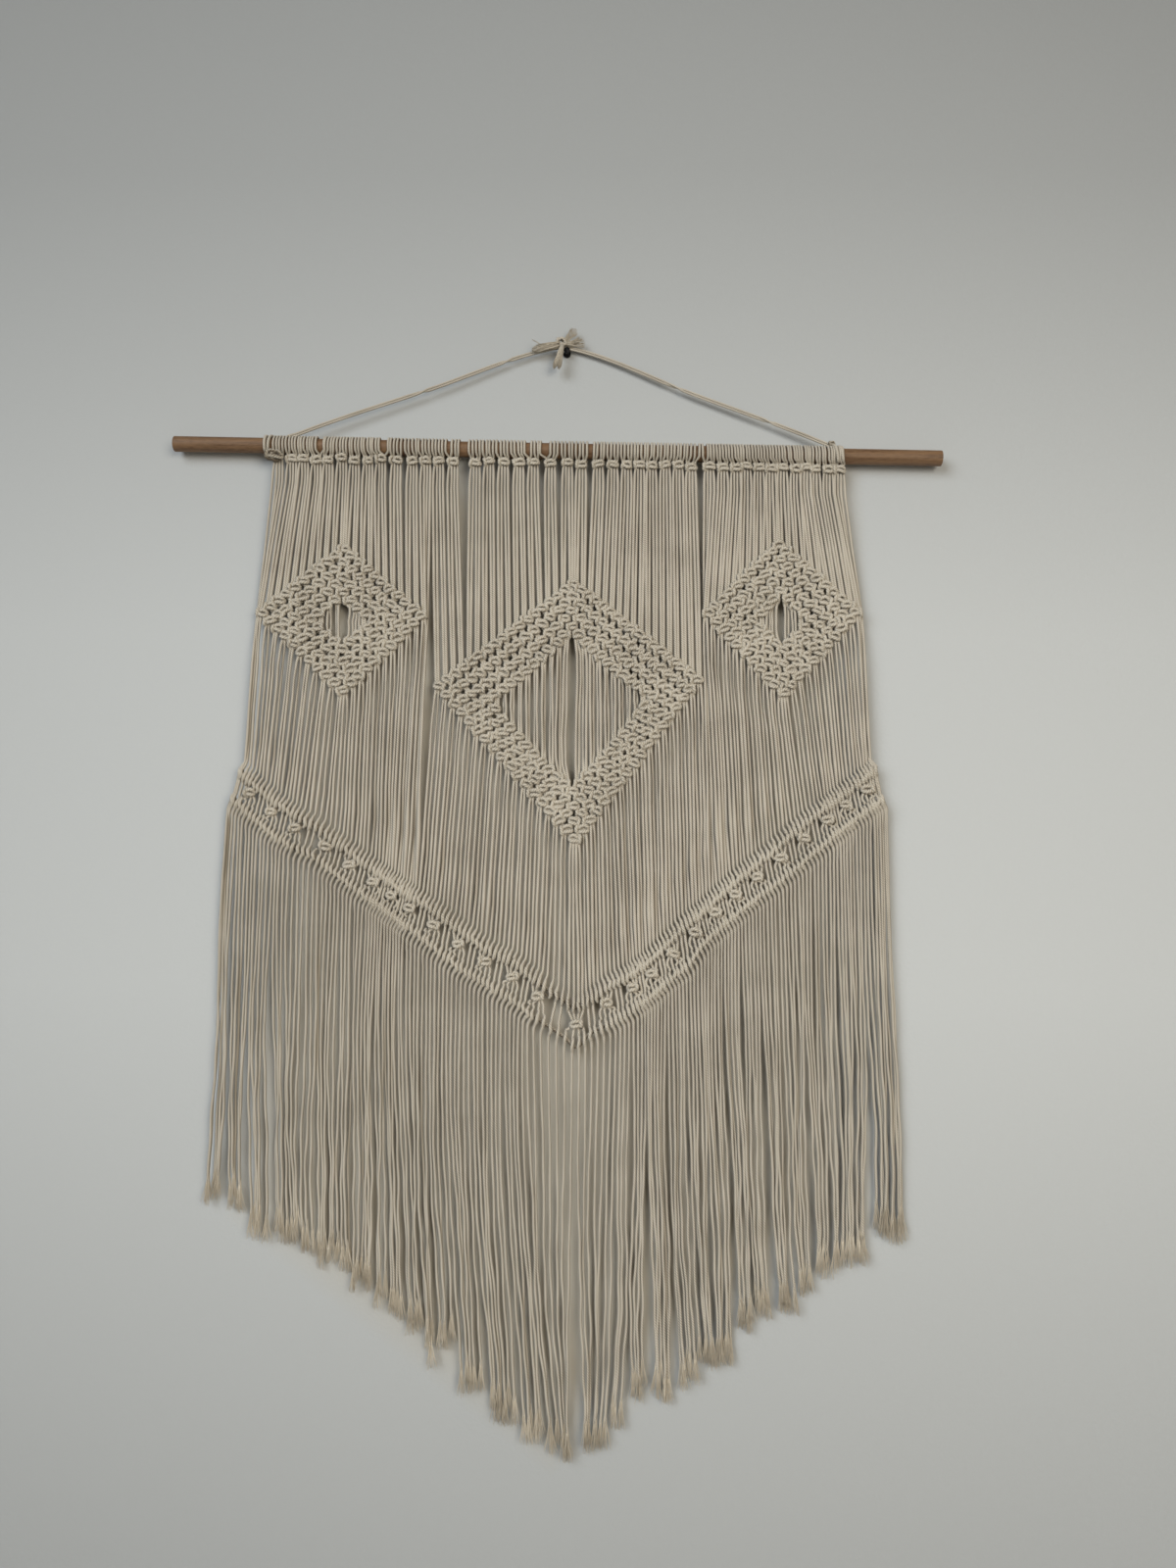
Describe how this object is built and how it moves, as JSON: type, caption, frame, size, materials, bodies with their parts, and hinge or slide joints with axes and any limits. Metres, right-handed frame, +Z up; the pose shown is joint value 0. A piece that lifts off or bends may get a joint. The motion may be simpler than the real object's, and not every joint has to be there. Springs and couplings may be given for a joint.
{
  "type": "macrame wall hanging on a wooden dowel with its wall screw",
  "caption": "Macrame wall hanging: cotton strings on a wooden dowel, with knotted diamonds, a chevron band and a long fringe, hung by a tied cord from a wall screw.",
  "frame": {"origin": "middle of the wall screw's collar, on the wall's surface", "axes": "+X to the right seen from the front, +Y into the wall, +Z up; the wall is the plane y = 0"},
  "size_m": [0.9004, 0.027, 1.2489],
  "materials": {
    "cotton": "natural undyed twisted cotton string",
    "beech": "bare sanded beech",
    "black_metal": "black coated screw"
  },
  "bodies": {
    "root": {"band_centre_knot": "cotton", "band_left": "cotton", "band_right": "cotton", "diamond_left": "cotton", "diamond_middle_lower_left": "cotton", "diamond_middle_lower_right": "cotton", "diamond_middle_upper_left": "cotton", "diamond_middle_upper_right": "cotton", "diamond_right": "cotton", "dowel": "beech", "fringe_left": "cotton", "fringe_right": "cotton", "hanger_knot": "cotton", "hanger_left_lower": "cotton", "hanger_left_upper": "cotton", "hanger_loop_left": "cotton", "hanger_loop_right": "cotton", "hanger_right_lower": "cotton", "hanger_right_upper": "cotton", "hanger_tie_left": "cotton", "hanger_tie_right": "cotton", "ridge_lower_left": "cotton", "ridge_lower_right": "cotton", "ridge_upper_left": "cotton", "ridge_upper_right": "cotton", "strings_lower_left_left": "cotton", "strings_lower_left_right": "cotton", "strings_lower_middle_left": "cotton", "strings_lower_middle_right": "cotton", "strings_lower_right_left": "cotton", "strings_lower_right_right": "cotton", "strings_upper_left_left": "cotton", "strings_upper_left_right": "cotton", "strings_upper_middle_left": "cotton", "strings_upper_middle_right": "cotton", "strings_upper_right_left": "cotton", "strings_upper_right_right": "cotton", "tie_end_down": "cotton", "tie_end_left": "cotton", "tie_end_up": "cotton", "wall_screw": "black_metal", "window_left_left": "cotton", "window_left_right": "cotton", "window_middle_left": "cotton", "window_middle_right": "cotton", "window_right_left": "cotton", "window_right_right": "cotton", "wraps_1": "cotton", "wraps_2": "cotton", "wraps_3": "cotton", "wraps_4": "cotton", "wraps_5": "cotton", "wraps_6": "cotton", "wraps_7": "cotton", "wraps_8": "cotton", "wraps_9": "cotton"}
  },
  "joints": []
}
